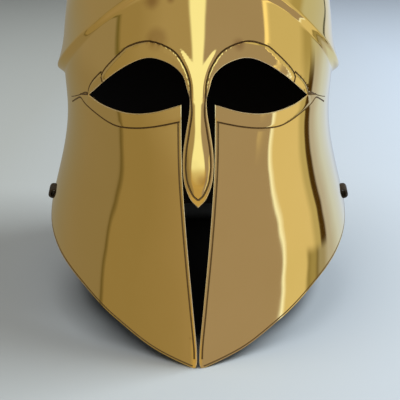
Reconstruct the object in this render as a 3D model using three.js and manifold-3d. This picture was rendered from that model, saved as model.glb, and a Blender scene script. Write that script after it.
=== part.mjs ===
// Corinthian helmet of sheet brass, in millimetres, +Z up, the face toward -Y.
// It stands by itself on the two cheek tips and on the rim of the neck guard, at z = 0.
import * as THREE from 'three';
import { mergeVertices } from 'three/addons/utils/BufferGeometryUtils.js';
import Module from 'manifold-3d';

const wasm = await Module();
wasm.setup();

// ---- driving dimensions -----------------------------------------------------------------

const WALL = 1.2;

// Level sections of the sheet, from below the rim to the crown. A section is an egg: front and
// back are where it meets the centre plane, half is its half width, widest is where that lies
// along Y, and keel is how far the centre line stands forward of the egg as a prow.
const SECTION_COLUMNS = ['height', 'front', 'back', 'half', 'widest', 'keel'];
const SECTIONS = [
  [-30, -133, 156, 126, 12, 11],
  [0, -132, 142, 125, 10, 11],
  [30, -131, 131.5, 123.5, 8, 11],
  [60, -130, 122.5, 118, 6, 10],
  [90, -128, 117, 109, 4, 9],
  [120, -126, 113, 100, 2, 8],
  [150, -123, 113, 95.5, 0, 7],
  [180, -119, 115, 98.5, 0, 6],
  [210, -112, 117, 94.5, 0, 5],
  [240, -102, 114, 89, 0, 3.5],
  [266, -87, 101, 76, 1, 2],
  [287, -65, 79, 57, 2, 1],
  [302, -36, 48, 31, 4, 0.4],
  [307, 6, 6, 0, 6, 0],
];
const FULLNESS = 0.02;
const KEEL_REACH = 50;
const KEEL_ROUNDING = 4;

// The free lower edge, from the middle of the face (0 degrees) to the middle of the nape (180).
const RIM_COLUMNS = ['angle', 'height'];
const RIM = [
  [0, 0],
  [3, 0],
  [12, 6.5],
  [25, 22],
  [40, 40],
  [55, 51],
  [70, 61],
  [85, 77],
  [97, 97],
  [107, 107],
  [117, 102],
  [128, 76],
  [139, 36],
  [147, 11],
  [154, 1],
  [160, 0],
  [180, 0],
];

// The ledge under the skull: a lip that arches over the brow and runs level round the back. It
// overhangs most at the temples, and it was hammered a little lower on the left brow than on the
// right. Below it the sheet slopes in, and above it the overhang fades.
const LEDGE = { side: 170, rise: 71, arch: 1.85, lean: 2.2, undercut: 4.5, fade: 28 };
const OVERHANG = { brow: 1.2, temple: 5.8, nape: 2.5, sharpness: 1.5 };

// Openings in the face, seen from the front as (x, z) on the right half.
const UPPER_LID = [[6.3, 179.5], [9.3, 187.6], [17, 193.5], [28.5, 195.9], [40, 191.9], [54, 182.3], [69.4, 168]];
const LOWER_LID = [[69.4, 168], [58.5, 164.2], [42.5, 162.3], [27, 164.7], [9.9, 170.7]];
const CHEEK_EDGE = [[9.9, 170.7], [10, 156], [9.9, 138], [9.2, 120], [6.9, 85.5], [3.6, 46], [1.3, 18], [0.9, 7]];
const CHEEK_TIP = [[0.9, 7], [1.6, 3.2], [2.8, 1], [4.5, -0.5], [9, -6]];
const NOSE_EDGE = [
  [0, 109.9], [4.9, 115.2], [8.2, 124], [9.2, 134], [8.8, 144], [7.1, 155.3], [5.3, 166], [4.9, 174], [6.3, 179.5],
];
const OPENING_DEPTH = { front: -170, back: -30 };

// Raised border round the eyes: its outer edge from the bridge over the brow to the outer
// corner, then back under the eye to the cheek's inner edge.
const BROW_LINE = [
  [4.3, 176], [4.9, 184], [8.2, 193], [15.2, 201.1], [28.5, 205.1], [41, 201.8], [50, 194], [57, 186], [66, 177.5],
  [71.5, 168.5],
];
const LID_LINE = [[71.5, 168.5], [73, 161.5], [65, 157.8], [54, 154.4], [37.3, 154], [10.9, 160.8]];
const BORDER_RISE = 0.7;

// Slots through each side, placed by the angle from the middle of the face and the height. A
// slot is upright at a lean of 0 and leans back from there. The tie loop is a leather ring
// through the loop slot and round the free edge, a little slack on the outside.
const LOOP_SLOT = { angle: 80, height: 78.5, lean: 63, width: 2.8, length: 10.6 };
const FRONT_SLOT = { angle: 66, height: 89.5, lean: 8, width: 1.8, length: 7.5 };
const LOOP = { width: 9, thickness: 1.5, gap: 0.6, reach: 9.8, slack: 1.8 };

// Facets: round the helmet, up the face and up the skull, how much closer they lie in front
// and above the lip, how fast the overhang fades, and the steps between two outline points.
const COLUMNS = 72;
const FACE_ROWS = 15;
const SKULL_ROWS = 12;
const FRONT_CROWDING = 0.35;
const LIP_CROWDING = 1.35;
const FADE_POWER = 2.5;
const OUTLINE_STEPS = 3;

// How closely heights are looked up and slopes are taken, and which points count as one.
const HALVINGS = 40;
const SMALL_STEP = 1e-3;
const SAME_POINT = 0.01;

const brass = new THREE.MeshStandardMaterial({ color: 0xb8923f, roughness: 0.16, metalness: 1 });
const leather = new THREE.MeshStandardMaterial({ color: 0x17130f, roughness: 0.7, metalness: 0 });

// ---- the sheet's surface ----------------------------------------------------------------

const CROWN = SECTIONS.length - 1;

// A control section. Past the crown the sections run down the other side, turned round.
function controlSection(index) {
  if (index <= CROWN) return SECTIONS[index];
  const [height, front, back, half, widest, keel] = SECTIONS[2 * CROWN - index];
  const crownY = SECTIONS[CROWN][1];
  return [height, 2 * crownY - front, 2 * crownY - back, -half, widest, -keel];
}

// The section at a place along the table, 1 at the rim's level and CROWN at the crown, on a
// uniform cubic B-spline, so that the sheet has no flats or kinks.
function sectionAt(place) {
  const first = Math.min(Math.max(Math.floor(place), 1), CROWN);
  const t = place - first;
  const weights = [
    (1 - t) ** 3 / 6,
    (3 * t ** 3 - 6 * t ** 2 + 4) / 6,
    (-3 * t ** 3 + 3 * t ** 2 + 3 * t + 1) / 6,
    t ** 3 / 6,
  ];
  const section = {};
  SECTION_COLUMNS.forEach((name, column) => {
    section[name] = weights.reduce((sum, w, k) => sum + w * controlSection(first - 1 + k)[column], 0);
  });
  return section;
}

// Where along the table a height lies.
function placeOf(height) {
  let low = 1;
  let high = CROWN;
  for (let step = 0; step < HALVINGS; step += 1) {
    const middle = (low + high) / 2;
    if (sectionAt(middle).height < height) low = middle;
    else high = middle;
  }
  return (low + high) / 2;
}

// A point of the sheet's outer face at an angle from the face's middle, moved out by grow.
function skinPoint(angle, place, grow = 0) {
  const section = sectionAt(place);
  const front = section.widest - section.front + grow;
  const back = section.back - section.widest + grow;
  const side = Math.sin(angle);
  const ahead = Math.cos(angle);
  const x = ((section.half + grow) * (side + FULLNESS * Math.sin(3 * angle))) / (1 - FULLNESS);
  const y = section.widest - ((front + back) / 2) * ahead - ((front - back) / 2) * ahead ** 2;
  const off = Math.hypot(x, KEEL_ROUNDING) - KEEL_ROUNDING;
  const keel = ahead > 0 && off < KEEL_REACH ? section.keel * (1 - off / KEEL_REACH) ** 2 : 0;
  return new THREE.Vector3(x, y - keel, section.height);
}

// The outward normal there, from two short steps along the sheet.
function skinNormal(angle, place) {
  const low = Math.min(place, CROWN - 2 * SMALL_STEP);
  const round = skinPoint(angle + SMALL_STEP, low).sub(skinPoint(angle - SMALL_STEP, low));
  const up = skinPoint(angle, low + SMALL_STEP).sub(skinPoint(angle, low - SMALL_STEP));
  return round.cross(up).normalize();
}

// A smooth curve through the rows of a two-column table, read at x.
function readTable(table, x) {
  const last = table.length - 1;
  const slope = (i) => {
    if (i === 0 || i === last) return 0;
    const before = (table[i][1] - table[i - 1][1]) / (table[i][0] - table[i - 1][0]);
    const after = (table[i + 1][1] - table[i][1]) / (table[i + 1][0] - table[i][0]);
    return before * after <= 0 ? 0 : (2 * before * after) / (before + after);
  };
  let i = 0;
  while (i < last - 1 && table[i + 1][0] < x) i += 1;
  const span = table[i + 1][0] - table[i][0];
  const t = (x - table[i][0]) / span;
  return (
    table[i][1] * (2 * t ** 3 - 3 * t ** 2 + 1) +
    table[i + 1][1] * (3 * t ** 2 - 2 * t ** 3) +
    slope(i) * span * (t ** 3 - 2 * t ** 2 + t) +
    slope(i + 1) * span * (t ** 3 - t ** 2)
  );
}

// Angle from the middle of the face, in degrees, the same on both sides.
const degreesAside = (angle) => THREE.MathUtils.radToDeg(Math.acos(Math.cos(angle)));
const rimHeight = (angle) => readTable(RIM, degreesAside(angle));

// The lip's height. Its lean is greatest where sine times cosine squared is.
const LEAN_PEAK = 2 / 3 ** 1.5;
function lipHeight(angle) {
  const ahead = Math.max(Math.cos(angle), 0);
  const lean = (LEDGE.lean * Math.sin(angle) * ahead ** 2) / LEAN_PEAK;
  return LEDGE.side + LEDGE.rise * ahead ** LEDGE.arch + lean;
}

function overhangAt(angle) {
  const ahead = Math.max(Math.cos(angle), 0) ** OVERHANG.sharpness;
  const backward = Math.max(-Math.cos(angle), 0);
  const { brow, temple, nape } = OVERHANG;
  return temple + (brow - temple) * ahead + (nape - temple) * backward;
}

// One column of the sheet, from the rim up to the crown, as [place, grow] pairs: the face,
// the lip that overhangs it, and the skull, whose overhang fades away above the lip.
function columnStations(angle) {
  const stations = [];
  const rim = rimHeight(angle);
  const lip = lipHeight(angle);
  const overhang = overhangAt(angle);
  for (let row = 0; row <= FACE_ROWS; row += 1) {
    stations.push([placeOf(rim + ((lip - LEDGE.undercut - rim) * row) / FACE_ROWS), 0]);
  }
  const lipPlace = placeOf(lip);
  for (let row = 0; row < SKULL_ROWS; row += 1) {
    const place = lipPlace + (CROWN - lipPlace) * (row / SKULL_ROWS) ** LIP_CROWDING;
    const above = sectionAt(place).height - lip;
    stations.push([place, overhang * Math.max(1 - above / LEDGE.fade, 0) ** FADE_POWER]);
  }
  return stations;
}

// ---- solids -----------------------------------------------------------------------------

// A closed three.js geometry as a solid.
function solidOf(geometry) {
  const bare = geometry.clone();
  bare.deleteAttribute('normal');
  bare.deleteAttribute('uv');
  const merged = mergeVertices(bare);
  const vertProperties = new Float32Array(merged.attributes.position.array);
  const triVerts = new Uint32Array(merged.index.array);
  return new wasm.Manifold(new wasm.Mesh({ numProp: 3, vertProperties, triVerts }));
}

function geometryOf(solid) {
  const mesh = solid.getMesh();
  const geometry = new THREE.BufferGeometry();
  geometry.setAttribute('position', new THREE.BufferAttribute(mesh.vertProperties, 3));
  geometry.setIndex(new THREE.BufferAttribute(mesh.triVerts, 1));
  geometry.computeVertexNormals();
  return geometry;
}

// The points of one face of the sheet, column by column from the rim up, then the crown. The
// rim's points keep their height on both faces, so the edge is level where the rim is.
function facePoints(distance) {
  const points = [];
  for (let column = 0; column < COLUMNS; column += 1) {
    const turn = (2 * Math.PI * column) / COLUMNS;
    const angle = turn - FRONT_CROWDING * Math.sin(turn);
    columnStations(angle).forEach(([place, grow], row) => {
      const point = skinPoint(angle, place, grow);
      point.addScaledVector(skinNormal(angle, place), distance);
      if (row === 0) point.z = rimHeight(angle);
      points.push(point);
    });
  }
  const crown = skinPoint(0, CROWN);
  points.push(crown.setZ(crown.z + distance));
  return points;
}

// The sheet as a closed wall between two copies of its surface, standing out by rise on the
// outer side and in by depth on the inner one.
function wallSolid(rise, depth) {
  const outer = facePoints(rise);
  const positions = [...outer, ...facePoints(-depth)].flatMap((point) => point.toArray());
  const rows = FACE_ROWS + 1 + SKULL_ROWS;
  const at = (side, column, row) => side * outer.length + (column % COLUMNS) * rows + row;
  const crown = (side) => (side + 1) * outer.length - 1;
  const triangles = [];
  const quad = (a, b, c, d) => triangles.push(a, b, c, a, c, d);
  for (let column = 0; column < COLUMNS; column += 1) {
    const next = column + 1;
    for (let row = 0; row < rows - 1; row += 1) {
      quad(at(0, column, row), at(0, next, row), at(0, next, row + 1), at(0, column, row + 1));
      quad(at(1, next, row), at(1, column, row), at(1, column, row + 1), at(1, next, row + 1));
    }
    triangles.push(at(0, column, rows - 1), at(0, next, rows - 1), crown(0));
    triangles.push(at(1, next, rows - 1), at(1, column, rows - 1), crown(1));
    quad(at(1, column, 0), at(1, next, 0), at(0, next, 0), at(0, column, 0));
  }
  const geometry = new THREE.BufferGeometry();
  geometry.setAttribute('position', new THREE.Float32BufferAttribute(positions, 3));
  geometry.setIndex(triangles);
  return solidOf(geometry);
}

// A smooth run of points through a short list, in equal steps between neighbours.
function smoothRun(points) {
  const curve = new THREE.SplineCurve(points.map(([x, z]) => new THREE.Vector2(x, z)));
  return curve.getPoints((points.length - 1) * OUTLINE_STEPS);
}

// A closed outline without points that fall on the next one.
function withoutRepeats(outline) {
  return outline.filter((point, i) => point.distanceTo(outline[(i + 1) % outline.length]) > SAME_POINT);
}

const mirrored = (points) => points.map((p) => new THREE.Vector2(-p.x, p.y)).reverse();

// A prism of an outline drawn from the front, running back through the face only.
function frontPrism(outline) {
  const depth = OPENING_DEPTH.back - OPENING_DEPTH.front;
  const geometry = new THREE.ExtrudeGeometry(new THREE.Shape(outline), { depth, bevelEnabled: false });
  geometry.rotateX(Math.PI / 2);
  geometry.translate(0, OPENING_DEPTH.back, 0);
  return solidOf(geometry);
}

// Both eyes, the slots beside the nose and the gap between the cheeks are one opening, round
// the nose guard that hangs into it.
function faceOpening() {
  const right = [LOWER_LID.slice().reverse(), UPPER_LID.slice().reverse(), NOSE_EDGE.slice().reverse()];
  const cheek = [...smoothRun(CHEEK_TIP.slice().reverse()), ...smoothRun(CHEEK_EDGE.slice().reverse())];
  const outline = [...cheek, ...right.flatMap((run) => smoothRun(run))];
  const closed = [...outline, ...mirrored(outline)];
  return frontPrism(withoutRepeats(closed));
}

// The raised border round one eye, before the opening is cut: a thicker piece of the sheet.
function eyeBorder(thicker, side) {
  const runs = [smoothRun(BROW_LINE), smoothRun(LID_LINE)].flat();
  const outline = withoutRepeats(runs);
  return thicker.intersect(frontPrism(side > 0 ? outline : mirrored(outline)));
}

// A frame on the right side of the sheet: Y along a slot, Z outward, and X across the slot,
// toward the free edge.
function slotFrame({ angle, height, lean }) {
  const turn = THREE.MathUtils.degToRad(angle);
  const place = placeOf(height);
  const outward = skinNormal(turn, place);
  const up = new THREE.Vector3(0, 0, 1);
  up.addScaledVector(outward, -up.dot(outward)).normalize();
  const along = up.applyAxisAngle(outward, -THREE.MathUtils.degToRad(lean));
  const across = along.clone().cross(outward);
  return new THREE.Matrix4().makeBasis(across, along, outward).setPosition(skinPoint(turn, place));
}

// A geometry drawn in a slot's frame as a solid on the right side, or mirrored on the left.
function solidAtSlot(geometry, slot, side) {
  const solid = solidOf(geometry.applyMatrix4(slotFrame(slot)));
  return side > 0 ? solid : solid.mirror([1, 0, 0]);
}

function slotCutter(slot, side) {
  return solidAtSlot(new THREE.BoxGeometry(slot.width, slot.length, 8 * WALL), slot, side);
}

// One outline of the tie loop's ring, across the slot and outward, inset by a wall.
function loopOutline(path, inset) {
  const near = inset - LOOP.thickness / 2;
  const far = LOOP.reach - inset;
  const inside = inset - WALL - LOOP.gap - LOOP.thickness;
  const outside = LOOP.gap;
  const top = LOOP.gap + LOOP.slack + LOOP.thickness - inset;
  path.moveTo(near, inside);
  path.lineTo(far, inside);
  path.lineTo(far, outside);
  path.quadraticCurveTo(far, top, (near + far) / 2, top);
  path.quadraticCurveTo(near, top, near, outside);
  path.closePath();
  return path;
}

// A flat leather ring through the loop slot and round the sheet's free edge.
function tieLoop(side) {
  const shape = loopOutline(new THREE.Shape(), 0);
  shape.holes.push(loopOutline(new THREE.Path(), LOOP.thickness));
  const settings = { depth: LOOP.width, bevelEnabled: false, curveSegments: 5 };
  const geometry = new THREE.ExtrudeGeometry(shape, settings);
  geometry.rotateX(Math.PI / 2);
  geometry.translate(0, LOOP.width / 2, 0);
  return solidAtSlot(geometry, LOOP_SLOT, side);
}

// ---- assembly ---------------------------------------------------------------------------

const SIDES = { left: -1, right: 1 };

// The whole sheet: skull, face, cheek guards, nose guard and neck guard in one piece.
function helmetShell() {
  const thicker = wallSolid(BORDER_RISE, WALL / 2);
  const sides = Object.values(SIDES);
  const bordered = sides.reduce((shell, side) => shell.add(eyeBorder(thicker, side)), wallSolid(0, WALL));
  const cutters = sides.flatMap((side) => [slotCutter(LOOP_SLOT, side), slotCutter(FRONT_SLOT, side)]);
  return cutters.reduce((shell, cutter) => shell.subtract(cutter), bordered.subtract(faceOpening()));
}

const helmet = new THREE.Group();

function addPiece(name, solid, material) {
  const mesh = new THREE.Mesh(geometryOf(solid), material);
  mesh.name = name;
  helmet.add(mesh);
}

addPiece('helmet_shell', helmetShell(), brass);
Object.entries(SIDES).forEach(([word, side]) => addPiece(`tie_loop_${word}`, tieLoop(side), leather));

export default helmet;
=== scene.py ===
"""A Corinthian helmet of polished sheet brass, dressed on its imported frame.

The helmet's own lengths are in millimetres; its meshes and the studio are in metres.
"""

import logging
import math
from dataclasses import dataclass, field
from enum import Enum
from functools import partial
from typing import Callable

import bmesh
import bpy
import numpy as np
from mathutils import Matrix, Vector


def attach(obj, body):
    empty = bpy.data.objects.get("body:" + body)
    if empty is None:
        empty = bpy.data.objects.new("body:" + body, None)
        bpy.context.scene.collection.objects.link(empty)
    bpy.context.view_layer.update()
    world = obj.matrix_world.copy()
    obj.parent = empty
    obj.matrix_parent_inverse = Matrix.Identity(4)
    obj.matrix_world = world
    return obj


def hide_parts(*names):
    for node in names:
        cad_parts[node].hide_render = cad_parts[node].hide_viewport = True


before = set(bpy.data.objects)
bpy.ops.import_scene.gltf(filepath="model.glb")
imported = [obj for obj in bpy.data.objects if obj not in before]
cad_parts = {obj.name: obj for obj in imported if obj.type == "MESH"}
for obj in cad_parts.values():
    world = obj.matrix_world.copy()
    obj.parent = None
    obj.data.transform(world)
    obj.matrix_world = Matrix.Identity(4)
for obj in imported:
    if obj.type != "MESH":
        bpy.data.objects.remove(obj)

MM = 0.001
GRID_MERGE = 1e-6
TUBE_MERGE = 1e-7
Points = np.ndarray
Color = tuple[float, float, float]
Run = tuple[tuple[float, float], ...]
log = logging.getLogger("helmet")


class Side(Enum):
    """The two sides of the helmet, as the sign of X."""

    LEFT = -1
    RIGHT = 1

    @property
    def word(self) -> str:
        """The side's name, as the nodes' names end."""
        return self.name.lower()


class Skin(Enum):
    """The material slots of a sheet's mesh, in their order."""

    OUTSIDE = 0
    GROOVE = 1
    INSIDE = 2
    # The edge slot holds a pale painted highlight for the cut edges.
    EDGE = 3


# ---- curves ------------------------------------------------------------------------------


def smooth_run(points: list[tuple[float, float]], steps: int) -> Points:
    """A smooth curve through a short list of points.

    Args:
        points: The points, as pairs.
        steps: How many steps to take between neighbours.

    Returns:
        The curve's points, one row each.
    """
    given = np.array(points, float)
    padded = np.vstack([2 * given[0] - given[1], given, 2 * given[-1] - given[-2]])
    t = np.linspace(0, 1, steps, endpoint=False)[:, None]
    runs = []
    for a, b, c, d in zip(padded, padded[1:], padded[2:], padded[3:]):
        bend = 2 * a - 5 * b + 4 * c - d
        twist = 3 * b - a - 3 * c + d
        runs.append(0.5 * (2 * b + (c - a) * t + bend * t**2 + twist * t**3))
    return np.vstack([*runs, given[-1:]])


def moved_aside(curve: Points, distance: float) -> Points:
    """A plane curve moved to its left by a distance, as seen going along it.

    Args:
        curve: Points in the plane, one row each.
        distance: How far to move it; negative is to the right.

    Returns:
        The moved points.
    """
    along = np.gradient(curve, axis=0)
    along /= np.linalg.norm(along, axis=1)[:, None]
    return curve + distance * np.column_stack([-along[:, 1], along[:, 0]])


def distance_to(curve: Points, points: Points) -> Points:
    """How far each point of the plane is from a curve's nearest point."""
    gaps = points[:, None, :] - curve[None, :, :]
    return np.sqrt((gaps**2).sum(-1).min(1))


def inside_outline(outline: Points, points: Points) -> Points:
    """Which points of the plane lie inside a closed outline."""
    x, y = points[:, 0][:, None], points[:, 1][:, None]
    x1, y1 = outline[:, 0], outline[:, 1]
    x2, y2 = np.roll(x1, -1), np.roll(y1, -1)
    rise = np.where(y2 == y1, 1e-12, y2 - y1)
    crossed = ((y1 > y) != (y2 > y)) & (x < (x2 - x1) * (y - y1) / rise + x1)
    return crossed.sum(1) % 2 == 1


def eased(t: Points) -> Points:
    """A smooth step from 0 to 1 as t goes from 0 to 1."""
    t = np.clip(t, 0, 1)
    return t * t * (3 - 2 * t)


# ---- the form of the sheet ---------------------------------------------------------------


@dataclass(frozen=True)
class SheetForm:
    """The helmet's surface, as level sections, a rim and a ledge. All sizes in mm.

    A section's columns are its height, its front and back on the centre plane, its half width
    and where that is widest along Y, and how far the centre line stands forward as a keel.
    """

    sections: tuple[tuple[float, ...], ...] = (
        (-30, -133, 156, 126, 12, 11),
        (0, -132, 142, 125, 10, 11),
        (30, -131, 131.5, 123.5, 8, 11),
        (60, -130, 122.5, 118, 6, 10),
        (90, -128, 117, 109, 4, 9),
        (120, -126, 113, 100, 2, 8),
        (150, -123, 113, 95.5, 0, 7),
        (180, -119, 115, 98.5, 0, 6),
        (210, -112, 117, 94.5, 0, 5),
        (240, -102, 114, 89, 0, 3.5),
        (266, -87, 101, 76, 1, 2),
        (287, -65, 79, 57, 2, 1),
        (302, -36, 48, 31, 4, 0.4),
        (307, 6, 6, 0, 6, 0),
    )
    rim_heights: tuple[tuple[float, float], ...] = (
        (0, 0),
        (1.4, 0),
        (3, 0.8),
        (12, 6.5),
        (25, 22),
        (40, 40),
        (55, 51),
        (70, 61),
        (85, 77),
        (97, 97),
        (107, 107),
        (117, 102),
        (128, 76),
        (139, 36),
        (147, 11),
        (154, 1),
        (160, 0),
        (180, 0),
    )
    wall: float = 1.2
    fullness: float = 0.02
    keel_reach: float = 50
    keel_rounding: tuple[tuple[float, float], ...] = ((128, 6), (156, 1.8), (175, 1.8), (235, 5))
    lip_side: float = 170
    lip_rise: float = 71
    lip_arch: float = 1.85
    lip_lean: float = 2.2
    brow_overhang: float = 1.2
    temple_overhang: float = 5.8
    nape_overhang: float = 2.5
    overhang_sharpness: float = 1.5
    brow_undercut: float = 2.6
    temple_undercut: float = 4.5
    lip_round: float = 1.5
    lip_round_steps: int = 7
    fade: float = 28
    fade_power: float = 2.5
    lookup_steps: int = 2401
    front_reach: float = 80
    halvings: int = 30

    @property
    def crown(self) -> float:
        """The crown's place along the table of sections."""
        return len(self.sections) - 1.0

    def section_at(self, place: Points) -> Points:
        """The section's numbers at each place, on a cubic spline through the table."""
        table = np.array(self.sections, float)
        past = table[-2:-4:-1].copy()
        past[:, 1:3] = 2 * table[-1, 1] - past[:, 1:3]
        past[:, (3, 5)] *= -1
        table = np.vstack([table, past])
        place = np.asarray(place, float)
        first = np.clip(np.floor(place).astype(int), 1, len(self.sections) - 1)
        t = place - first
        weights = np.stack(
            [
                (1 - t) ** 3 / 6,
                (3 * t**3 - 6 * t**2 + 4) / 6,
                (-3 * t**3 + 3 * t**2 + 3 * t + 1) / 6,
                t**3 / 6,
            ],
            axis=-1,
        )
        return (weights[..., None] * table[first[..., None] + np.arange(-1, 3)]).sum(-2)

    def place_of(self, height: Points) -> Points:
        """Where along the table each height lies."""
        places = np.linspace(1, self.crown, self.lookup_steps)
        return np.interp(height, self.section_at(places)[:, 0], places)

    def skin(self, angle: Points, place: Points, grow: Points | float = 0.0) -> Points:
        """Points of the sheet's outer face.

        Args:
            angle: Angles from the middle of the face, in radians.
            place: Places along the table of sections.
            grow: How far the section is let out, in mm.

        Returns:
            One row of X, Y and Z for each angle.
        """
        height, front, back, half, widest, keel = np.moveaxis(self.section_at(place), -1, 0)
        ahead = np.cos(angle)
        fore = widest - front + grow
        aft = back - widest + grow
        x = (half + grow) * (np.sin(angle) + self.fullness * np.sin(3 * angle)) / (1 - self.fullness)
        y = widest - (fore + aft) / 2 * ahead - (fore - aft) / 2 * ahead**2
        rounding = np.interp(height, *np.transpose(self.keel_rounding))
        off = np.clip((np.hypot(x, rounding) - rounding) / self.keel_reach, 0, 1)
        y = y - np.where(ahead > 0, keel * (1 - off) ** 2, 0)
        return np.stack([x, y, height], axis=-1)

    def outward(self, angle: Points, place: Points) -> Points:
        """The outward normal of the sheet at each angle and place."""
        step = 1e-3
        place = np.minimum(place, self.crown - 2 * step)
        around = self.skin(angle + step, place) - self.skin(angle - step, place)
        up = self.skin(angle, place + step) - self.skin(angle, place - step)
        normal = np.cross(around, up)
        return normal / np.linalg.norm(normal, axis=-1)[..., None]

    def rim(self, angle: Points) -> Points:
        """The free edge's height at each angle."""
        table = np.array(self.rim_heights, float)
        steps = np.diff(table[:, 1]) / np.diff(table[:, 0])
        before, after = steps[:-1], steps[1:]
        mean = np.where(before * after > 0, 2 * before * after / (before + after + 1e-12), 0)
        slope = np.concatenate([[0], mean, [0]])
        aside = np.degrees(np.arccos(np.clip(np.cos(angle), -1, 1)))
        i = np.clip(np.searchsorted(table[:, 0], aside, side="right") - 1, 0, len(table) - 2)
        span = table[i + 1, 0] - table[i, 0]
        t = (aside - table[i, 0]) / span
        low, high = table[i, 1], table[i + 1, 1]
        bend = slope[i] * span * (t**3 - 2 * t**2 + t) + slope[i + 1] * span * (t**3 - t**2)
        return low * (2 * t**3 - 3 * t**2 + 1) + high * (3 * t**2 - 2 * t**3) + bend

    def lip(self, angle: Points) -> Points:
        """The height of the ledge's lip at each angle."""
        ahead = np.maximum(np.cos(angle), 0)
        lean = self.lip_lean * np.sin(angle) * ahead**2 * 3**1.5 / 2
        return self.lip_side + self.lip_rise * ahead**self.lip_arch + lean

    def overhang_at(self, angle: Points) -> Points:
        """How far the lip stands out of the face at each angle."""
        ahead = np.maximum(np.cos(angle), 0) ** self.overhang_sharpness
        backward = np.maximum(-np.cos(angle), 0)
        forward = (self.brow_overhang - self.temple_overhang) * ahead
        return self.temple_overhang + forward + (self.nape_overhang - self.temple_overhang) * backward

    def undercut_at(self, angle: Points) -> Points:
        """How far below the lip the face begins at each angle."""
        ahead = np.maximum(np.cos(angle), 0)
        return self.temple_undercut + (self.brow_undercut - self.temple_undercut) * ahead

    def ledge(self, angle: Points, above: Points) -> Points:
        """How far the ledge stands out of the plain form, with its edges rounded.

        Args:
            angle: Angles from the middle of the face, in radians.
            above: Heights above the lip, in mm; negative below it.

        Returns:
            The overhang at each.
        """
        undercut = self.undercut_at(angle)
        shares = []
        for offset in np.linspace(-self.lip_round, self.lip_round, self.lip_round_steps):
            height = above + offset
            slope = np.clip(1 + height / undercut, 0, 1)
            fall = np.maximum(1 - height / self.fade, 0) ** self.fade_power
            shares.append(np.where(height > 0, fall, slope))
        return self.overhang_at(angle) * np.mean(shares, axis=0)

    def angle_at(self, x: Points, height: Points) -> Points:
        """The angle at which the front of the sheet lies at each X and height."""
        low = np.zeros_like(x)
        high = np.full_like(x, math.radians(self.front_reach))
        place = self.place_of(height)
        for _ in range(self.halvings):
            middle = (low + high) / 2
            short = self.skin(middle, place)[:, 0] < x
            low = np.where(short, middle, low)
            high = np.where(short, high, middle)
        return (low + high) / 2


@dataclass(frozen=True)
class FaceDrawing:
    """Edges and engraved lines of the face's right half, drawn from the front in mm."""

    upper_lid: Run = (
        (6.3, 179.5), (9.3, 187.6), (17, 193.5), (28.5, 195.9), (40, 191.9), (54, 182.3), (69.4, 168),
    )
    lower_lid: Run = (
        (69.4, 168), (58.5, 164.2), (42.5, 162.3), (27, 164.7), (9.9, 170.7),
    )
    cheek_edge: Run = (
        (9.9, 170.7), (10, 156), (9.9, 138), (9.2, 120), (6.9, 85.5), (3.6, 46), (1.2, 18), (0.75, 7),
    )
    cheek_tip: Run = ((0.75, 7), (0.9, 3.4), (1.5, 1.2), (2.8, -0.4), (9, -6))
    nose_edge: Run = (
        (0, 109.9), (4.9, 115.2), (8.2, 124), (9.2, 134), (8.8, 144), (7.1, 155.3), (5.3, 166), (4.9, 174),
        (6.3, 179.5),
    )
    brow_line: Run = (
        (4.3, 176), (4.9, 184), (8.2, 193), (15.2, 201.1), (28.5, 205.1), (40.5, 201.8), (47, 196.8),
        (53, 191), (57.2, 186.3), (59.2, 182.6), (59.2, 178),
    )
    corner_line: Run = (
        (59.4, 184.6), (63, 181), (66.3, 177.2), (69, 172.6), (70, 168.4),
    )
    lid_line: Run = (
        (85, 157.2), (80.6, 161.2), (76.6, 163.9), (73, 161.4), (65.2, 157.8), (56, 154.2), (48.5, 152.9),
        (37.3, 153.9), (25.7, 156.4), (10.9, 160.8),
    )
    nose_line: Run = (
        (0, 114.6), (3.4, 118), (6.4, 125.5), (7.4, 134), (7.0, 144), (5.3, 155.3), (3.8, 166), (4.3, 176),
    )
    upper_tail: Run = ((69.6, 168.6), (72.5, 168.6), (77.2, 165.4), (85.6, 160.3))
    corner_dash: Run = ((69.6, 168.2), (73, 167.2), (76.5, 166.2))
    steps: int = 14

    def run(self, points: Run) -> Points:
        """A drawn line as a smooth curve."""
        return smooth_run(list(points), self.steps)

    def opening(self) -> Points:
        """The whole opening round the nose guard: eyes, slots and the gap between the cheeks."""
        edges = (self.cheek_tip, self.cheek_edge, self.lower_lid, self.upper_lid, self.nose_edge)
        right = np.vstack([self.run(edge)[::-1] for edge in edges])
        left = right[::-1] * (-1, 1)
        outline = np.vstack([right, left])
        gaps = np.linalg.norm(outline - np.roll(outline, -1, axis=0), axis=1)
        return outline[gaps > 1e-3]

    def crest(self) -> Points:
        """The engraved line over the eye, out to the corner of its border."""
        return np.vstack([self.run(self.brow_line)[: -self.steps], self.run(self.corner_line)])

    def border(self) -> Points:
        """The outline of the eye's border, out to its engraved line."""
        lid = self.run(self.lid_line)
        return np.vstack([self.crest(), lid[lid[:, 0] < self.lid_line[3][0]]])


# ---- meshes ------------------------------------------------------------------------------


def finished(name: str, form: bmesh.types.BMesh) -> bpy.types.Mesh:
    """A new mesh from a bmesh, which is freed."""
    mesh = bpy.data.meshes.new(name)
    form.to_mesh(mesh)
    form.free()
    return mesh


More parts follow.
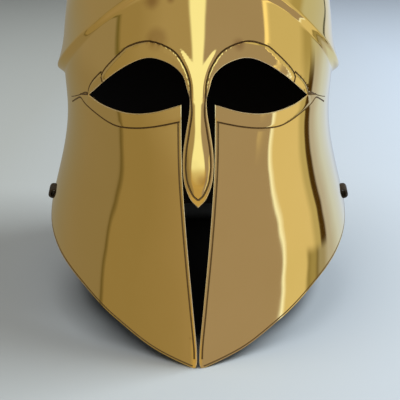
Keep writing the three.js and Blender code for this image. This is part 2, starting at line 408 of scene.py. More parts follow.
def grid_mesh(
    name: str, columns: int, rows: int, shape: Callable[[Points, Points], Points]
) -> bpy.types.Mesh:
    """A grid bent into a surface.

    Args:
        name: The mesh's name.
        columns: Faces across.
        rows: Faces up.
        shape: Gives rows of X, Y and Z in mm for places across and up, both from 0 to 1.

    Returns:
        The mesh, in metres, with its coinciding vertices merged.
    """
    sheet = bmesh.new()
    bmesh.ops.create_grid(sheet, x_segments=columns, y_segments=rows, size=1)
    for vertex in sheet.verts:
        vertex.co.z = 0
    flat = np.array([vertex.co[:] for vertex in sheet.verts])
    bent = shape((flat[:, 0] + 1) / 2, (flat[:, 1] + 1) / 2) * MM
    for vertex, place in zip(sheet.verts, bent):
        vertex.co = place
    bmesh.ops.remove_doubles(sheet, verts=sheet.verts, dist=GRID_MERGE)
    return finished(name, sheet)


def prism_mesh(name: str, outline: Points, front: float, back: float) -> bpy.types.Mesh:
    """A cutter: an outline drawn from the front, run back along Y.

    Args:
        name: The mesh's name.
        outline: Rows of X and Z in mm.
        front: Where it starts along Y.
        back: Where it ends.

    Returns:
        The closed mesh, in metres.
    """
    form = bmesh.new()
    ring = [form.verts.new((x * MM, front * MM, z * MM)) for x, z in outline]
    cap = form.faces.new(ring)
    walls = bmesh.ops.extrude_face_region(form, geom=[cap])
    moved = [item for item in walls["geom"] if isinstance(item, bmesh.types.BMVert)]
    bmesh.ops.translate(form, verts=moved, vec=(0, (back - front) * MM, 0))
    bmesh.ops.recalc_face_normals(form, faces=form.faces)
    bmesh.ops.triangulate(form, faces=[face for face in form.faces if len(face.verts) > 4])
    return finished(name, form)


def tube_mesh(name: str, route: Points, radius: Points, skin: Skin) -> bpy.types.Mesh:
    """A round cutter along a route, for an engraved line or a cut edge that carries the painted highlight.

    Args:
        name: The mesh's name.
        route: Rows of X, Y and Z in mm.
        radius: The tube's radius at each of them, in mm.
        skin: The slot of what it leaves.

    Returns:
        The closed mesh, in metres.
    """
    curve = bpy.data.curves.new(name, "CURVE")
    curve.dimensions = "3D"
    curve.bevel_depth = MM
    curve.bevel_resolution = 1
    curve.use_fill_caps = True
    line = curve.splines.new("POLY")
    line.points.add(len(route) - 1)
    for point, place, size in zip(line.points, route * MM, radius):
        point.co = (*place, 1)
        point.radius = size
    holder = bpy.data.objects.new(name, curve)
    bpy.context.collection.objects.link(holder)
    evaluated = holder.evaluated_get(bpy.context.evaluated_depsgraph_get())
    mesh = bpy.data.meshes.new_from_object(evaluated)
    bpy.data.objects.remove(holder)
    bpy.data.curves.remove(curve)
    form = bmesh.new()
    form.from_mesh(mesh)
    bmesh.ops.remove_doubles(form, verts=form.verts, dist=TUBE_MERGE)
    bmesh.ops.recalc_face_normals(form, faces=form.faces)
    for face in form.faces:
        face.material_index = skin.value
    form.to_mesh(mesh)
    form.free()
    return mesh


def add_object(
    name: str, mesh: bpy.types.Mesh, materials: list[bpy.types.Material]
) -> bpy.types.Object:
    """An object at the origin that shows a mesh in the given materials."""
    obj = bpy.data.objects.new(name, mesh)
    bpy.context.collection.objects.link(obj)
    mesh.materials.clear()
    for material in materials:
        mesh.materials.append(material)
    return obj


def settle(obj: bpy.types.Object) -> None:
    """Makes an object's modifiers part of its mesh."""
    evaluated = obj.evaluated_get(bpy.context.evaluated_depsgraph_get())
    mesh = bpy.data.meshes.new_from_object(evaluated)
    obj.modifiers.clear()
    spare, obj.data = obj.data, mesh
    mesh.name = obj.name
    bpy.data.meshes.remove(spare)


def cut(obj: bpy.types.Object, cutter: bpy.types.Mesh) -> None:
    """Takes a closed mesh out of an object's mesh."""
    holder = bpy.data.objects.new(cutter.name, cutter)
    bpy.context.collection.objects.link(holder)
    for material in obj.data.materials:
        cutter.materials.append(material)
    knife = obj.modifiers.new("cut", "BOOLEAN")
    knife.operation = "DIFFERENCE"
    knife.solver = "MANIFOLD"
    knife.object = holder
    before = len(obj.data.polygons)
    settle(obj)
    bpy.data.objects.remove(holder)
    bpy.data.meshes.remove(cutter)
    log.info("cut %s: %d faces became %d", obj.name, before, len(obj.data.polygons))


def smooth_by_angle(mesh: bpy.types.Mesh, degrees: float) -> None:
    """Shades a mesh smooth, with its edges sharp where they turn by more than an angle."""
    mesh.shade_smooth()
    mesh.set_sharp_from_angle(angle=math.radians(degrees))


# ---- finishes ----------------------------------------------------------------------------


def new_material(name: str) -> tuple[bpy.types.Material, bpy.types.Node]:
    """A node material and its shader.

    Args:
        name: The material's name.

    Returns:
        The material and its Principled shader.
    """
    material = bpy.data.materials.new(name)
    material.use_nodes = True
    return material, material.node_tree.nodes["Principled BSDF"]


def calculated(
    tree: bpy.types.NodeTree, operation: str, *inputs: bpy.types.NodeSocket | float
) -> bpy.types.NodeSocket:
    """A Math node's output for inputs that are sockets or numbers."""
    node = tree.nodes.new("ShaderNodeMath")
    node.operation = operation
    for socket, value in zip(node.inputs, inputs):
        if isinstance(value, bpy.types.NodeSocket):
            tree.links.new(value, socket)
        else:
            socket.default_value = value
    return node.outputs[0]


def mixed(
    tree: bpy.types.NodeTree,
    factor: bpy.types.NodeSocket,
    first: bpy.types.NodeSocket | Color,
    second: bpy.types.NodeSocket | Color,
) -> bpy.types.NodeSocket:
    """A blend of two colours, the first where the factor is 0 and the second where it is 1."""
    mix = tree.nodes.new("ShaderNodeMix")
    mix.data_type = "RGBA"
    tree.links.new(factor, mix.inputs["Factor"])
    for socket, color in ((mix.inputs["A"], first), (mix.inputs["B"], second)):
        if isinstance(color, bpy.types.NodeSocket):
            tree.links.new(color, socket)
        else:
            socket.default_value = (*color, 1)
    return mix.outputs["Result"]


def ranged(
    tree: bpy.types.NodeTree,
    value: bpy.types.NodeSocket,
    source: tuple[float, float] = (0, 1),
    target: tuple[float, float] = (0, 1),
    ease: str = "SMOOTHSTEP",
) -> bpy.types.NodeSocket:
    """A value brought from one range to another, and held at its ends."""
    node = tree.nodes.new("ShaderNodeMapRange")
    node.interpolation_type = ease
    tree.links.new(value, node.inputs["Value"])
    for name, limit in zip(("From Min", "From Max", "To Min", "To Max"), (*source, *target)):
        node.inputs[name].default_value = limit
    return node.outputs["Result"]


def noise(
    tree: bpy.types.NodeTree, place: bpy.types.NodeSocket, size: float, detail: float = 2
) -> bpy.types.NodeSocket:
    """A noise over a place, with clouds of a size in mm."""
    node = tree.nodes.new("ShaderNodeTexNoise")
    node.inputs["Scale"].default_value = 1 / (size * MM)
    node.inputs["Detail"].default_value = detail
    tree.links.new(place, node.inputs["Vector"])
    return node.outputs["Fac"]


def bumped(
    tree: bpy.types.NodeTree, height: bpy.types.NodeSocket, depth: float
) -> bpy.types.NodeSocket:
    """A normal that a height bumps, up to a depth in mm."""
    node = tree.nodes.new("ShaderNodeBump")
    node.inputs["Distance"].default_value = depth * MM
    tree.links.new(height, node.inputs["Height"])
    return node.outputs["Normal"]


@dataclass(frozen=True)
class Stain:
    """One stain on the brass: where it is and its radius, in mm, and how strong it is."""

    place: tuple[float, float, float]
    radius: float
    strength: float


@dataclass(frozen=True)
class BrassFinish:
    """Mirror-polished brass, with faint clouds, polishing scratches and a few brown stains."""

    color: Color = (0.81, 0.595, 0.21)
    pale: Color = (0.86, 0.64, 0.245)
    stain_color: Color = (0.42, 0.24, 0.09)
    smooth: float = 0.03
    scuffed: float = 0.06
    cloud_size: float = 45
    cloud_detail: float = 5
    scratch_size: float = 1.6
    scratch_stretch: float = 9
    scratch_depth: float = 0.0022
    scratch_detail: float = 4
    scratch_lean: tuple[float, float, float] = (0.3, 0.2, 0.5)
    raggedness: float = 2.4
    stains: tuple[Stain, ...] = (
        Stain((-27, -104, 228), 7, 0.75),
        Stain((-16, -107, 229), 4, 0.7),
        Stain((-24, -111, 207), 7, 0.45),
        Stain((24, -112, 204), 5, 0.6),
        Stain((2.5, -135, 127), 4, 0.45),
        Stain((-3, -135, 138), 5, 0.3),
        Stain((-4.5, -140, 22), 1.5, 0.5),
    )

    def material(self) -> bpy.types.Material:
        """The finish as a material."""
        material, shader = new_material("polished_brass")
        tree = material.node_tree
        place = tree.nodes.new("ShaderNodeTexCoord").outputs["Object"]
        cloud = noise(tree, place, self.cloud_size, self.cloud_detail)
        surface = mixed(tree, cloud, self.color, self.pale)
        for stain in self.stains:
            surface = self.stained(tree, place, cloud, surface, stain)
        turn = tree.nodes.new("ShaderNodeMapping")
        turn.inputs["Rotation"].default_value = self.scratch_lean
        turn.inputs["Scale"].default_value = (1, 1, 1 / self.scratch_stretch)
        tree.links.new(place, turn.inputs["Vector"])
        scratch = noise(tree, turn.outputs["Vector"], self.scratch_size, self.scratch_detail)
        wear = ranged(tree, cloud, target=(self.smooth, self.scuffed), ease="LINEAR")
        tree.links.new(surface, shader.inputs["Base Color"])
        tree.links.new(wear, shader.inputs["Roughness"])
        tree.links.new(bumped(tree, scratch, self.scratch_depth), shader.inputs["Normal"])
        shader.inputs["Metallic"].default_value = 1
        return material

    def stained(
        self,
        tree: bpy.types.NodeTree,
        place: bpy.types.NodeSocket,
        cloud: bpy.types.NodeSocket,
        surface: bpy.types.NodeSocket,
        stain: Stain,
    ) -> bpy.types.NodeSocket:
        """Mixes a ragged brown stain over the brass.

        Args:
            tree: The material's nodes.
            place: The object coordinates.
            cloud: The noise that makes the stain ragged.
            surface: The colour under it.
            stain: The stain.

        Returns:
            The colour with the stain.
        """
        gap = tree.nodes.new("ShaderNodeVectorMath")
        gap.operation = "DISTANCE"
        gap.inputs[1].default_value = tuple(value * MM for value in stain.place)
        tree.links.new(place, gap.inputs[0])
        radius = stain.radius * MM
        reach = calculated(tree, "MULTIPLY_ADD", cloud, -self.raggedness * radius, gap.outputs["Value"])
        strength = ranged(tree, reach, (-radius, 0), (stain.strength, 0))
        return mixed(tree, strength, surface, self.stain_color)


@dataclass(frozen=True)
class PlainFinish:
    """A finish that is the same all over."""

    name: str
    color: Color
    roughness: float
    metallic: float = 0
    specular: float = 0.5

    def material(self) -> bpy.types.Material:
        """The finish as a material."""
        material, shader = new_material(self.name)
        shader.inputs["Base Color"].default_value = (*self.color, 1)
        shader.inputs["Roughness"].default_value = self.roughness
        shader.inputs["Metallic"].default_value = self.metallic
        shader.inputs["Specular IOR Level"].default_value = self.specular
        return material


# Brown-black tarnish in the engraved lines, a pale painted highlight on the cut edges and a black inside.
TARNISH = PlainFinish("groove_tarnish", (0.22, 0.13, 0.045), roughness=0.45, metallic=0.6)
PAINTED_EDGE_HIGHLIGHT = PlainFinish("painted_edge_highlight", (0.95, 0.80, 0.50), roughness=0.34, metallic=1)
BLACK_INSIDE = PlainFinish("blackened_inside", (0.006, 0.005, 0.004), roughness=0.85, specular=0.1)


@dataclass(frozen=True)
class LeatherFinish:
    """Worn black leather."""

    color: Color = (0.016, 0.012, 0.008)
    worn: Color = (0.05, 0.034, 0.02)
    roughness: float = 0.6
    grain: float = 0.7
    grain_depth: float = 0.12
    wear_size: float = 4

    def material(self) -> bpy.types.Material:
        """The finish as a material."""
        material, shader = new_material("tie_leather")
        tree = material.node_tree
        place = tree.nodes.new("ShaderNodeTexCoord").outputs["Object"]
        grain = tree.nodes.new("ShaderNodeTexVoronoi")
        grain.inputs["Scale"].default_value = 1 / (self.grain * MM)
        tree.links.new(place, grain.inputs["Vector"])
        normal = bumped(tree, grain.outputs["Distance"], self.grain_depth)
        color = mixed(tree, noise(tree, place, self.wear_size), self.color, self.worn)
        tree.links.new(color, shader.inputs["Base Color"])
        tree.links.new(normal, shader.inputs["Normal"])
        shader.inputs["Roughness"].default_value = self.roughness
        return material


# ---- the helmet --------------------------------------------------------------------------


@dataclass(frozen=True)
class Relief:
    """What the hammer raised on the face: eye borders, bridge and nose leaf. Sizes in mm."""

    drawing: FaceDrawing = field(default_factory=FaceDrawing)
    brow_height: float = 1.0
    lid_height: float = 0.4
    step_width: float = 1.1
    crest_height: float = 0.7
    crest_offset: float = 1.7
    crest_width: float = 1.3
    crest_reach: tuple[float, float] = (8, 20)
    crest_foot: float = 168
    crest_foot_fade: float = 14
    eye_width: float = 90
    eye_span: tuple[float, float] = (148, 214)
    leaf_height: float = 0.9
    leaf_flattening: float = 0.26
    keel_round: float = 6
    leaf_tip: float = 114.6
    leaf_tip_fade: float = 9
    nose_width: float = 10
    nose_span: tuple[float, float] = (108, 160)
    leaf_fade: tuple[float, float] = (132, 152)
    wave_height: float = 0.018
    wave_length: float = 30

    def borders(self, spot: Points) -> Points:
        """The rise of the borders between the eyes and their engraved lines, and beside them."""
        drawing = self.drawing
        to_brow = distance_to(drawing.crest(), spot)
        to_lid = distance_to(drawing.run(drawing.lid_line), spot)
        upper = distance_to(drawing.run(drawing.upper_lid), spot)
        lower = distance_to(drawing.run(drawing.lower_lid), spot)
        inside = inside_outline(drawing.border(), spot)
        above = self.brow_height * eased(to_brow / self.step_width)
        above *= upper / (upper + to_brow + 1e-6)
        below = self.lid_height * eased(to_lid / self.step_width)
        below *= 1 - 0.5 * lower / (lower + to_lid + 1e-6)
        border = np.where(inside, np.where(upper < lower, above, below), 0)
        bead = np.exp(-(((to_brow - self.crest_offset) / self.crest_width) ** 2))
        start, end = self.crest_reach
        taper = 1 - eased((spot[:, 0] - start) / (end - start))
        taper *= eased((spot[:, 1] - self.crest_foot) / self.crest_foot_fade)
        return border + np.where(inside, 0, self.crest_height * bead * taper)

    def leaf(self, spot: Points) -> Points:
        """The rise of the flattened leaf at the end of the nose guard."""
        line = np.array(self.drawing.nose_line, float)
        half = np.interp(spot[:, 1], line[:, 1], line[:, 0])
        across = np.clip(spot[:, 0] / np.maximum(half, 0.1), 0, 1)
        dropped = self.leaf_flattening * (np.hypot(spot[:, 0], self.keel_round) - self.keel_round)
        low, high = self.leaf_fade
        along = eased((spot[:, 1] - self.leaf_tip) / self.leaf_tip_fade)
        along *= 1 - eased((spot[:, 1] - low) / (high - low))
        return (self.leaf_height + dropped) * (1 - across**4) * along

    def waves(self, place: Points) -> Points:
        """The slight waviness that planishing leaves all over."""
        # The factors share no common measure, so that no pattern shows.
        x, y, z = (2 * np.pi / self.wave_length * place).T
        wave = np.sin(x + 0.7 * np.sin(0.8 * z + 1)) * np.sin(0.9 * z + 0.6 * np.sin(y))
        wave += 0.6 * np.sin(0.53 * x - 0.71 * y + 2) * np.sin(0.61 * z + 0.4)
        return self.wave_height * wave

    def rise(self, place: Points) -> Points:
        """How far the face stands off its plain form.

        Args:
            place: Rows of X, Y and Z on the plain form, in mm.

        Returns:
            The height of the relief at each.
        """
        spot = np.column_stack([np.abs(place[:, 0]), place[:, 2]])
        rise = self.waves(place)
        front = place[:, 1] < 0
        for width, (low, high), raised in (
            (self.eye_width, self.eye_span, self.borders),
            (self.nose_width, self.nose_span, self.leaf),
        ):
            near = front & (spot[:, 0] < width) & (spot[:, 1] > low) & (spot[:, 1] < high)
            rise[near] += raised(spot[near])
        return rise


@dataclass
class Sheet:
    """The brass sheet, in two meshes that meet at the lip of the ledge. Sizes in mm."""

    form: SheetForm = field(default_factory=SheetForm)
    drawing: FaceDrawing = field(default_factory=FaceDrawing)
    relief: Relief = field(default_factory=Relief)
    columns: int = 360
    face_rows: int = 104
    undercut_rows: int = 9
    skull_rows: int = 72
    front_crowding: float = 0.6
    row_crowding: tuple[tuple[float, float], ...] = ((0, 0), (0.22, 0.42), (0.88, 0.9), (1, 1))
    lip_crowding: float = 1.35
    line_radius: float = 0.72
    fine_line_radius: float = 0.6
    chamfer_radius: float = 0.5
    edge_line_inset: float = 1.8
    rim_line_inset: float = 1.7
    rim_line_start: float = 1.6
    rim_edge_start: float = 0.9
    rim_steps: int = 260
    tail_end: float = 0.5
    opening_depth: tuple[float, float] = (-170, -30)
    sharp_from: float = 32

    def turned(self, across: Points) -> Points:
        """The angle of each column, closer together at the front."""
        turn = 2 * np.pi * across
        return turn - self.front_crowding * np.sin(turn)

    def face_points(self, across: Points, up: Points) -> Points:
        """The face, cheeks and neck from the free edge up to the lip."""
        form = self.form
        angle = self.turned(across)
        lip = form.lip(angle)
        rim = form.rim(angle)
        bend = self.face_rows / (self.face_rows + self.undercut_rows)
        on_face = np.interp(np.clip(up / bend, 0, 1), *np.transpose(self.row_crowding))
        on_slope = np.clip((up - bend) / (1 - bend), 0, 1)
        slope = form.undercut_at(angle) + form.lip_round
        height = rim + (lip - slope - rim) * on_face + slope * on_slope
        grow = form.ledge(angle, height - lip)
        place = form.place_of(height)
        points = form.skin(angle, place, grow)
        return points + self.relief.rise(points)[:, None] * form.outward(angle, place)

    def skull_points(self, across: Points, up: Points) -> Points:
        """The skull from the lip up to the crown."""
        form = self.form
        angle = self.turned(across)
        lip_place = form.place_of(form.lip(angle))
        place = lip_place + (form.crown - lip_place) * up**self.lip_crowding
        above = form.section_at(place)[:, 0] - form.lip(angle)
        points = form.skin(angle, place, form.ledge(angle, above))
        return points + self.relief.waves(points)[:, None] * form.outward(angle, place)

    def along_rim(self, start: float, inset: float) -> Points:
        """A line along the free edge, from one cheek tip round to the other.

        Args:
            start: The angle from the middle of the face at which it starts, in degrees.
            inset: How far inside the edge it runs, in mm.

        Returns:
            Rows of X, Y and Z.
        """
        form = self.form
        right = np.linspace(start, 180, self.rim_steps)
        left = np.linspace(181, 360 - start, self.rim_steps - 1)
        angle = np.radians(np.concatenate([right, left]))
        step = math.radians(0.5)
        after, before = (
            form.skin(turn, form.place_of(form.rim(turn))) for turn in (angle + step, angle - step)
        )
        place = form.place_of(form.rim(angle))
        inward = np.cross(form.outward(angle, place), after - before)
        inward /= np.linalg.norm(inward, axis=1)[:, None]
        return form.skin(angle, place) + inset * inward

    def on_sheet(self, drawn: Points) -> Points:
        """A line drawn from the front on the right half, laid on the sheet with its relief."""
        form = self.form
        angle = form.angle_at(drawn[:, 0], drawn[:, 1])
        place = form.place_of(drawn[:, 1])
        points = form.skin(angle, place)
        return points + self.relief.rise(points)[:, None] * form.outward(angle, place)

    def drawn_lines(self) -> dict[str, tuple[Points, float]]:
        """The engraved lines of the face's right half, each with its radius."""
        drawing = self.drawing
        cheek = moved_aside(drawing.run(drawing.cheek_edge), self.edge_line_inset)
        nose = drawing.run(drawing.nose_line)
        brow = drawing.run(drawing.brow_line)
        lines = {
            "nose_line": (np.vstack([nose, brow[1 : 2 * drawing.steps]]), self.line_radius),
            "brow_line": (brow[drawing.steps :], self.line_radius),
            "corner_line": (drawing.run(drawing.corner_line), self.line_radius),
            "lid_line": (drawing.run(drawing.lid_line), self.fine_line_radius),
            "cheek_line": (cheek[cheek[:, 1] < drawing.lid_line[-1][1]], self.fine_line_radius),
            "upper_tail": (drawing.run(drawing.upper_tail), self.fine_line_radius),
            "corner_dash": (drawing.run(drawing.corner_dash), self.fine_line_radius),
        }
        return {name: (self.on_sheet(line), radius) for name, (line, radius) in lines.items()}

    def chamfered_edges(self) -> dict[str, Points]:
        """The edges of the opening's right half, whose cut corners carry a pale painted highlight."""
        drawing = self.drawing
        edges = {
            "eye_edge": (drawing.nose_edge, drawing.upper_lid, drawing.lower_lid),
            "cheek_edge": (drawing.cheek_edge, drawing.cheek_tip),
        }
        runs = {}
        for name, parts in edges.items():
            run = np.vstack([drawing.run(part)[:-1] for part in parts])
            runs[name] = self.on_sheet(run[run[:, 1] > 1])
        return runs

    def rout(
        self, face: bpy.types.Object, name: str, route: Points, radius: float, skin: Skin, end: float = 1
    ) -> None:
        """Cuts a round groove along a route, thinned toward its end."""
        cut(face, tube_mesh(name, route, radius * np.linspace(1, end, len(route)), skin))

    def make_face(self, materials: list[bpy.types.Material]) -> bpy.types.Object:
        """The lower mesh, with its openings, slots and engraved lines cut."""
        rows = self.face_rows + self.undercut_rows
        mesh = grid_mesh("face_sheet", self.columns, rows, self.face_points)
        face = add_object("face_sheet", mesh, materials)
        self.thicken(face)
        cut(face, prism_mesh("opening", self.drawing.opening(), *self.opening_depth))
        for side in Side:
            flip = (side.value, 1, 1)
            for name, edge in self.chamfered_edges().items():
                self.rout(face, name, edge * flip, self.chamfer_radius, Skin.EDGE)
            for name, (line, radius) in self.drawn_lines().items():
                end = self.tail_end if name == "upper_tail" else 1
                self.rout(face, name, line * flip, radius, Skin.GROOVE, end)
        # The rim's edge carries the pale painted highlight too.
        edge = self.along_rim(self.rim_edge_start, 0)
        self.rout(face, "rim_edge", edge, self.chamfer_radius, Skin.EDGE)
        line = self.along_rim(self.rim_line_start, self.rim_line_inset)
        self.rout(face, "rim_line", line, self.fine_line_radius, Skin.GROOVE)
        smooth_by_angle(face.data, self.sharp_from)
        return face

    def make_skull(self, materials: list[bpy.types.Material]) -> bpy.types.Object:
        """The upper mesh, from the lip to the crown."""
        mesh = grid_mesh("skull_sheet", self.columns, self.skull_rows, self.skull_points)
        skull = add_object("skull_sheet", mesh, materials)
        self.thicken(skull)
        smooth_by_angle(skull.data, self.sharp_from)
        return skull

    def thicken(self, obj: bpy.types.Object) -> None:
        """Gives a sheet its wall, inward."""
        wall = obj.modifiers.new("wall", "SOLIDIFY")
        wall.thickness = self.form.wall * MM
        wall.offset = -1
        wall.material_offset = Skin.INSIDE.value
        settle(obj)


@dataclass
class TieLoop:
    """A leather loop round the free edge, its corners worn round. Sizes in mm and degrees."""

    side: Side
    corner_turn: float = 35
    round_radius: float = 0.55
    round_steps: int = 3
    slimness: float = 0.74
    merge_within: float = 0.01
    flat_within: float = 2
    sharp_from: float = 40

    def make(self, materials: list[bpy.types.Material]) -> bpy.types.Object:
        """The loop, worn round from the plain strap of the frame."""
        name = f"tie_loop_{self.side.word}"
        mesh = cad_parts[name].data.copy()
        mesh.name = f"{name}_leather"
        strap = bmesh.new()
        strap.from_mesh(mesh)
        bmesh.ops.remove_doubles(strap, verts=strap.verts, dist=self.merge_within * MM)
        flat = math.radians(self.flat_within)
        bmesh.ops.dissolve_limit(strap, angle_limit=flat, verts=strap.verts, edges=strap.edges)
        flank = max(strap.faces, key=lambda face: len(face.verts))
        narrowed = Matrix.Scale(self.slimness, 4, flank.normal)
        middle = sum((vertex.co for vertex in strap.verts), Vector()) / len(strap.verts)
        shrink = Matrix.Translation(middle) @ narrowed @ Matrix.Translation(-middle)
        bmesh.ops.transform(strap, matrix=shrink, verts=strap.verts)
        turn = math.radians(self.corner_turn)
        sharp = [edge for edge in strap.edges if edge.is_manifold and edge.calc_face_angle() > turn]
        bmesh.ops.bevel(
            strap, geom=sharp, offset=self.round_radius * MM, offset_type="OFFSET",
            segments=self.round_steps, affect="EDGES", profile=0.5, material=-1, clamp_overlap=True,
        )
        bmesh.ops.triangulate(strap, faces=[face for face in strap.faces if len(face.verts) > 4])
        strap.to_mesh(mesh)
        strap.free()
        loop = add_object(f"{name}_leather", mesh, materials)
        smooth_by_angle(mesh, self.sharp_from)
        return loop


# ---- the studio --------------------------------------------------------------------------


@dataclass(frozen=True)
class Panel:
    """One stretch of the tent's wall, from an azimuth on to the next panel's.

    The name says what it stands for. The azimuth is in degrees from the camera's side, growing
    to the right, and so is the width over which the panel blends with the one before.
    """

    name: str
    start: float
    color: Color
    blend: float = 3.0


LEFT_PANELS = (
    Panel("far left", -180, (0.28, 0.26, 0.20)),
    Panel("left", -125, (0.30, 0.26, 0.20), 30),
    Panel("left gap", -74, (0.16, 0.13, 0.06), 1.5),
    Panel("near left", -71.5, (0.34, 0.28, 0.17), 2),
    Panel("camera side", -48, (0.39, 0.32, 0.22), 16),
)
SEAM_PANELS = (
    Panel("near right", 20, (0.42, 0.365, 0.37), 10),
    Panel("seam", 59.4, (1.2, 1.4, 1.8), 0.5),
)
FAR_PANEL = Panel("far right", 148, (0.50, 0.58, 0.70), 12)


@dataclass
class ReflectionTent:
    """Cloth panels round the helmet that only the polished brass sees.

    They are in three layers, which blend over the deep horizon and the horizon. On the right
    the panels lean between two heights. Those are all in degrees above the tent's middle.
    """

    radius: float = 2.4
    deep_panels: tuple[Panel, ...] = (
        *LEFT_PANELS,
        Panel("centre", -28, (0.58, 0.45, 0.23), 10),
        *SEAM_PANELS,
        Panel("gold", 61.8, (0.80, 0.75, 0.56), 1),
        Panel("thin line", 82, (0.30, 0.27, 0.14), 3),
        Panel("olive", 85, (0.40, 0.37, 0.22), 3),
        Panel("thin line", 91.5, (0.22, 0.19, 0.10), 1.5),
        Panel("grey wall", 94, (0.40, 0.40, 0.38), 3),
        Panel("pale wall", 104, (0.55, 0.60, 0.78), 6),
        Panel("window", 118, (0.68, 0.83, 1.12), 12),
        FAR_PANEL,
    )
    low_panels: tuple[Panel, ...] = (
        *LEFT_PANELS,
        Panel("centre", -28, (0.60, 0.47, 0.24), 10),
        *SEAM_PANELS,
        Panel("gold", 61.8, (0.81, 0.75, 0.57), 1),
        Panel("gold shade", 90, (0.56, 0.53, 0.36), 5),
        Panel("dark chair", 98, (0.07, 0.04, 0.01), 1),
        Panel("pale wall", 105, (0.54, 0.58, 0.78), 2),
        Panel("window", 116, (0.68, 0.83, 1.12), 12),
        FAR_PANEL,
    )
    high_panels: tuple[Panel, ...] = (
        Panel("far left", -180, (0.30, 0.29, 0.25)),
        Panel("left", -125, (0.34, 0.30, 0.25), 30),
        Panel("left gap", -72, (0.17, 0.15, 0.06), 2),
        Panel("near left", -69, (0.36, 0.30, 0.19), 2),
        Panel("camera side", -48, (0.44, 0.38, 0.28), 16),
        Panel("lamp", -21, (1.15, 1.28, 1.17), 4),
        Panel("near right", 11, (0.42, 0.37, 0.37), 4),
        Panel("seam", 51.6, (1.3, 1.2, 0.85), 0.8),
        Panel("gold", 54.2, (0.70, 0.65, 0.46), 2),
        Panel("gold shade", 87, (0.47, 0.43, 0.25), 8),
        Panel("pale wall", 101, (0.60, 0.65, 0.62), 5),
        Panel("dark edge", 130, (0.08, 0.09, 0.07), 1.2),
        Panel("far right", 133, (0.72, 0.78, 0.84), 1.5),
    )
    deep_horizon: tuple[float, float] = (-15, -12.8)
    lean: float = 0.6
    lean_from: float = -24
    lean_to: float = -9
    horizon: tuple[float, float] = (-6, 6)
    segments: int = 96

    def height_at(self, rise: float) -> float:
        """The height of the tent's wall at an angle above its middle, in degrees."""
        return self.radius * math.sin(math.radians(rise))

    def ramp(self, tree: bpy.types.NodeTree, panels: tuple[Panel, ...]) -> bpy.types.Node:
        """A colour ramp over the azimuth, one flat stretch for each panel."""
        node = tree.nodes.new("ShaderNodeValToRGB")
        stops = node.color_ramp.elements
        stops.remove(stops[1])
        stops[0].position = 0
        stops[0].color = (*panels[0].color, 1)
        for before, panel in zip(panels, panels[1:]):
            for offset, color in ((-panel.blend / 2, before.color), (panel.blend / 2, panel.color)):
                stop = stops.new((panel.start + offset) / 360 + 0.5)
                stop.color = (*color, 1)
        return node

    def material(self) -> bpy.types.Material:
        """The panels as a glow that depends on the direction."""
        material = bpy.data.materials.new("tent_cloth")
        material.use_nodes = True
        tree = material.node_tree
        tree.nodes.clear()
        place = tree.nodes.new("ShaderNodeTexCoord")
        parts = tree.nodes.new("ShaderNodeSeparateXYZ")
        tree.links.new(place.outputs["Object"], parts.inputs[0])
        reckon = partial(calculated, tree)
        backward = reckon("MULTIPLY", parts.outputs["Y"], -1.0)
        azimuth = reckon("ARCTAN2", parts.outputs["X"], backward)
        low = reckon("MINIMUM", parts.outputs["Z"], self.height_at(self.lean_to))
        above = reckon("SUBTRACT", low, self.height_at(self.lean_from))
        on_right = reckon("GREATER_THAN", parts.outputs["X"], 0.0)
        leaning = reckon("MULTIPLY", reckon("MULTIPLY", above, self.lean / self.radius), on_right)
        straight = reckon("SUBTRACT", azimuth, leaning)
        turn = reckon("ADD", reckon("DIVIDE", straight, 2 * math.pi), 0.5)
        layers = []
        for panels in (self.deep_panels, self.low_panels, self.high_panels):
            ramp = self.ramp(tree, panels)
            tree.links.new(turn, ramp.inputs["Fac"])
            layers.append(ramp.outputs["Color"])
        cloth = layers[0]
        for layer, (start, end) in zip(layers[1:], (self.deep_horizon, self.horizon)):
            span = (self.height_at(start), self.height_at(end))
            cloth = mixed(tree, ranged(tree, parts.outputs["Z"], span), cloth, layer)
        glow = tree.nodes.new("ShaderNodeEmission")
        out = tree.nodes.new("ShaderNodeOutputMaterial")
        tree.links.new(cloth, glow.inputs["Color"])
        tree.links.new(glow.outputs[0], out.inputs["Surface"])
        material.cycles.emission_sampling = "NONE"
        return material

    def build(self) -> None:
        """Adds the tent, unseen by the camera and casting no light on the floor."""
        form = bmesh.new()
        bmesh.ops.create_uvsphere(
            form, u_segments=self.segments, v_segments=self.segments // 2, radius=self.radius
        )
        bmesh.ops.reverse_faces(form, faces=form.faces)
        tent = add_object("tent", finished("tent", form), [self.material()])
        tent.visible_camera = False
        tent.visible_diffuse = False
        tent.visible_shadow = False
        tent.visible_transmission = False


@dataclass(frozen=True)
class SoftBox:
    """A soft light: where it stands, its width and height in metres, its watts and its colour."""

    name: str
    spot: tuple[float, float, float]
    size: tuple[float, float]
    power: float
    color: Color = (1, 1, 1)

    def add(self, aim: tuple[float, float, float]) -> None:
        """Adds the light, turned toward a place and unseen in reflections."""
        light = bpy.data.lights.new(self.name, "AREA")
        light.shape = "RECTANGLE"
        light.size, light.size_y = self.size
        light.energy = self.power
        light.color = self.color
        holder = bpy.data.objects.new(self.name, light)
        holder.location = self.spot
        toward = Vector(aim) - Vector(self.spot)
        holder.rotation_euler = toward.to_track_quat("-Z", "Y").to_euler()
        holder.visible_glossy = False
        bpy.context.collection.objects.link(holder)


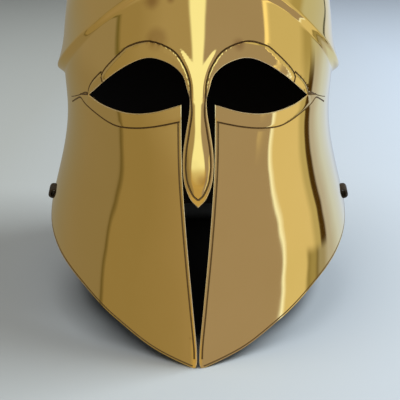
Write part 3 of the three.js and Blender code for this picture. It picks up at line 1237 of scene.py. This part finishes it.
@dataclass
class Studio:
    """The floor, the lights, which are for the floor and the leather, and the camera."""

    aim: tuple[float, float, float] = (0.0, -0.135, 0.1152)
    elevation: float = 22.0
    distance: float = 0.42
    lens: float = 63.0
    sensor: float = 36.0
    shift: float = 0.0045
    nearest: float = 0.01
    boxes: tuple[SoftBox, ...] = (
        SoftBox("window", (1.6, 0.1, 2.0), (1.2, 1.2), 60, (0.88, 0.95, 1)),
        SoftBox("ceiling", (-0.6, -0.4, 2.6), (2, 2), 34),
    )
    box_aim: tuple[float, float, float] = (0, 0, 0.05)
    room_color: Color = (0.60, 0.62, 0.64)
    room_strength: float = 0.16
    floor_half: float = 6.0
    # Painted light: the floor goes from a darker grey on the left to a brighter, bluer tone on the right,
    # where the window light falls.
    floor_shaded_left: Color = (0.46, 0.47, 0.44)
    floor_lit_right: Color = (0.62, 0.69, 0.78)
    floor_light_blend: tuple[float, float] = (-0.25, 0.4)
    # Painted shadow: a black oval painted on the floor under the helmet, given by its half sizes and the
    # share of it that is fully black.
    painted_shadow_color: Color = (0.004, 0.004, 0.004)
    shadow_half_width: float = 0.102
    shadow_half_length: float = 0.125
    shadow_core: float = 0.8

    def add_floor(self) -> None:
        """A pale floor with painted light: painted brighter and bluer toward the right, where the window
        light falls, and a painted black shadow under the helmet.
        """
        form = bmesh.new()
        bmesh.ops.create_grid(form, x_segments=1, y_segments=1, size=self.floor_half)
        material, shader = new_material("floor_paper")
        tree = material.node_tree
        place = tree.nodes.new("ShaderNodeTexCoord").outputs["Object"]
        parts = tree.nodes.new("ShaderNodeSeparateXYZ")
        tree.links.new(place, parts.inputs[0])
        # Painted light: darker on the left, brighter and bluer on the right.
        across = ranged(tree, parts.outputs["X"], self.floor_light_blend, ease="LINEAR")
        paper = mixed(tree, across, self.floor_shaded_left, self.floor_lit_right)
        # Painted shadow: black inside an oval under the helmet, fading to the paper colour at its edge.
        squeeze = tree.nodes.new("ShaderNodeMapping")
        shadow_size = (1 / self.shadow_half_width, 1 / self.shadow_half_length, 0)
        squeeze.inputs["Scale"].default_value = shadow_size
        tree.links.new(place, squeeze.inputs["Vector"])
        reach = tree.nodes.new("ShaderNodeVectorMath")
        reach.operation = "LENGTH"
        tree.links.new(squeeze.outputs["Vector"], reach.inputs[0])
        edge = ranged(tree, reach.outputs["Value"], (self.shadow_core, 1))
        tree.links.new(mixed(tree, edge, self.painted_shadow_color, paper), shader.inputs["Base Color"])
        shader.inputs["Roughness"].default_value = 0.8
        shader.inputs["Specular IOR Level"].default_value = 0.1
        floor = add_object("floor", finished("floor", form), [material])
        floor.visible_glossy = False

    def add_camera(self) -> None:
        """The camera, in front of the face and a little above it."""
        tilt = math.radians(self.elevation)
        camera = bpy.data.cameras.new("camera")
        camera.lens = self.lens
        camera.sensor_width = self.sensor
        camera.shift_x = self.shift
        camera.clip_start = self.nearest
        holder = bpy.data.objects.new("camera", camera)
        away = Vector((0, -math.cos(tilt), math.sin(tilt)))
        holder.location = Vector(self.aim) + away * self.distance
        holder.rotation_euler = (math.pi / 2 - tilt, 0, 0)
        bpy.context.collection.objects.link(holder)
        bpy.context.scene.camera = holder

    def build(self) -> None:
        """Adds everything round the helmet."""
        self.add_floor()
        ReflectionTent().build()
        world = bpy.data.worlds.new("room")
        world.use_nodes = True
        background = world.node_tree.nodes["Background"]
        background.inputs["Color"].default_value = (*self.room_color, 1)
        background.inputs["Strength"].default_value = self.room_strength
        bpy.context.scene.world = world
        for box in self.boxes:
            box.add(self.box_aim)
        bpy.context.scene.view_settings.view_transform = "Standard"
        self.add_camera()


def main() -> None:
    """Builds and dresses the helmet, then its surroundings."""
    logging.basicConfig(level=logging.INFO, format="%(name)s: %(message)s")
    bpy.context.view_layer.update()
    brass = BrassFinish().material()
    sheet = Sheet()
    slots = [brass, *(finish.material() for finish in (TARNISH, BLACK_INSIDE, PAINTED_EDGE_HIGHLIGHT))]
    for piece in (sheet.make_skull(slots), sheet.make_face(slots)):
        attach(piece, "root")
        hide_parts("helmet_shell")
        log.info("%s: %d faces", piece.name, len(piece.data.polygons))
    leather = LeatherFinish().material()
    for side in Side:
        loop = TieLoop(side).make([leather])
        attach(loop, "root")
        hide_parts(f"tie_loop_{side.word}")
        log.info("%s: %d faces", loop.name, len(loop.data.polygons))
    Studio().build()


if __name__ == "__main__":
    main()
